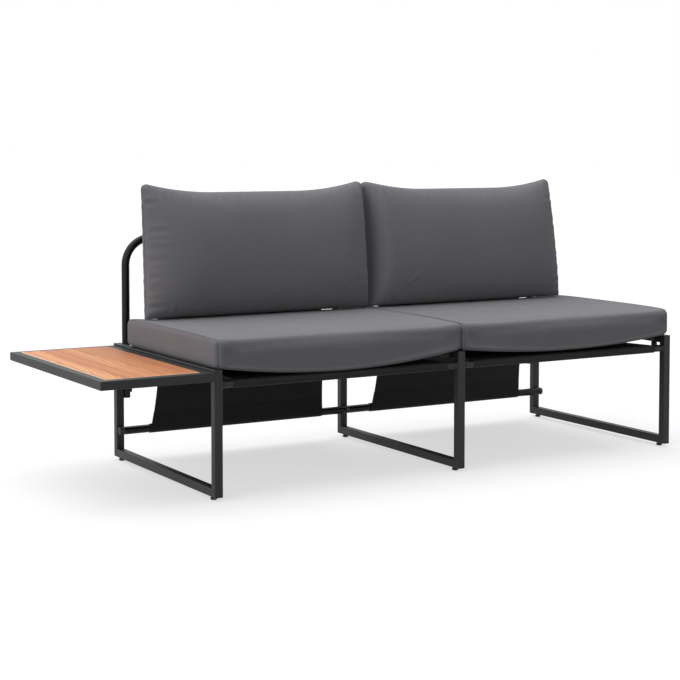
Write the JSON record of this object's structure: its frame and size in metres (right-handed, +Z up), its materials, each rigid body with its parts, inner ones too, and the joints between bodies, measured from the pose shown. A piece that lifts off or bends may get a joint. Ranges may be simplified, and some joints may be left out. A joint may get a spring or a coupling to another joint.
{
  "type": "garden sofa",
  "caption": "Low garden sofa with square leg frames, mesh slings, loose seat and back cushions, and a boarded side table fixed at one end.",
  "frame": {"origin": "on the floor, under the middle of the whole object's length and depth", "axes": "+X to the sitter's left-hand side as seen from the front, away from the side table; +Y to the back; +Z up"},
  "size_m": [1.588, 0.5843, 0.6844],
  "materials": {
    "frame_coat": "fine matt powder coat, anthracite",
    "black_plastic": "moulded black plastic",
    "zinc_steel": "zinc-plated steel",
    "black_bolts": "black-coated steel",
    "black_mesh": "coated mesh, black",
    "oiled_wood": "oiled hardwood",
    "grey_cloth": "woven outdoor cloth, mid grey",
    "filling": "soft polyester filling",
    "zip_tape": "woven zip tape"
  },
  "bodies": {
    "frame": {"left_leg_frame": "frame_coat", "middle_leg_frame": "frame_coat", "right_leg_frame": "frame_coat", "front_rail_left": "frame_coat", "front_rail_right": "frame_coat", "back_tube": "frame_coat", "back_centre_post": "frame_coat", "low_rod": "frame_coat", "table_frame": "frame_coat", "table_batten_front": "frame_coat", "table_batten_rear": "frame_coat", "back_tube_plugs": "black_plastic", "rod_end_caps": "black_plastic", "foot_inserts": "zinc_steel", "rail_inserts": "zinc_steel", "back_inserts": "zinc_steel", "rod_inserts": "zinc_steel", "table_inserts": "zinc_steel", "table_screws": "zinc_steel", "rail_bolts": "black_bolts", "back_bolts": "black_bolts", "rod_bolts": "black_bolts", "table_bolts": "black_bolts", "seat_sling_left": "black_mesh", "seat_sling_right": "black_mesh", "back_sling_left": "black_mesh", "back_sling_right": "black_mesh", "table_board_1": "oiled_wood", "table_board_2": "oiled_wood", "table_board_3": "oiled_wood", "table_board_4": "oiled_wood", "table_board_5": "oiled_wood"},
    "seat_cushion_left": {"seat_cover_left": "grey_cloth", "seat_filling_left": "filling", "seat_zip_left": "zip_tape"},
    "back_cushion_left": {"back_cover_left": "grey_cloth", "back_filling_left": "filling"},
    "seat_cushion_right": {"seat_cover_right": "grey_cloth", "seat_filling_right": "filling", "seat_zip_right": "zip_tape"},
    "back_cushion_right": {"back_cover_right": "grey_cloth", "back_filling_right": "filling"},
    "glide_front_left": {"foot_front_left": "black_plastic"},
    "glide_front_middle": {"foot_front_middle": "black_plastic"},
    "glide_front_right": {"foot_front_right": "black_plastic"},
    "glide_rear_left": {"foot_rear_left": "black_plastic"},
    "glide_rear_middle": {"foot_rear_middle": "black_plastic"},
    "glide_rear_right": {"foot_rear_right": "black_plastic"}
  },
  "joints": [
    {"name": "seat_cushion_left_lift", "type": "slide", "parent": "frame", "child": "seat_cushion_left", "axis": [0, 0, 1], "range_m": [0, 0.25]},
    {"name": "back_cushion_left_lift", "type": "slide", "parent": "seat_cushion_left", "child": "back_cushion_left", "axis": [0, 0, 1], "range_m": [0, 0.3]},
    {"name": "seat_cushion_right_lift", "type": "slide", "parent": "frame", "child": "seat_cushion_right", "axis": [0, 0, 1], "range_m": [0, 0.25]},
    {"name": "back_cushion_right_lift", "type": "slide", "parent": "seat_cushion_right", "child": "back_cushion_right", "axis": [0, 0, 1], "range_m": [0, 0.3]},
    {"name": "foot_front_left_screw", "type": "slide", "parent": "frame", "child": "glide_front_left", "axis": [0, 0, -1], "range_m": [0, 0.006]},
    {"name": "foot_front_middle_screw", "type": "slide", "parent": "frame", "child": "glide_front_middle", "axis": [0, 0, -1], "range_m": [0, 0.006]},
    {"name": "foot_front_right_screw", "type": "slide", "parent": "frame", "child": "glide_front_right", "axis": [0, 0, -1], "range_m": [0, 0.006]},
    {"name": "foot_rear_left_screw", "type": "slide", "parent": "frame", "child": "glide_rear_left", "axis": [0, 0, -1], "range_m": [0, 0.006]},
    {"name": "foot_rear_middle_screw", "type": "slide", "parent": "frame", "child": "glide_rear_middle", "axis": [0, 0, -1], "range_m": [0, 0.006]},
    {"name": "foot_rear_right_screw", "type": "slide", "parent": "frame", "child": "glide_rear_right", "axis": [0, 0, -1], "range_m": [0, 0.006]}
  ]
}
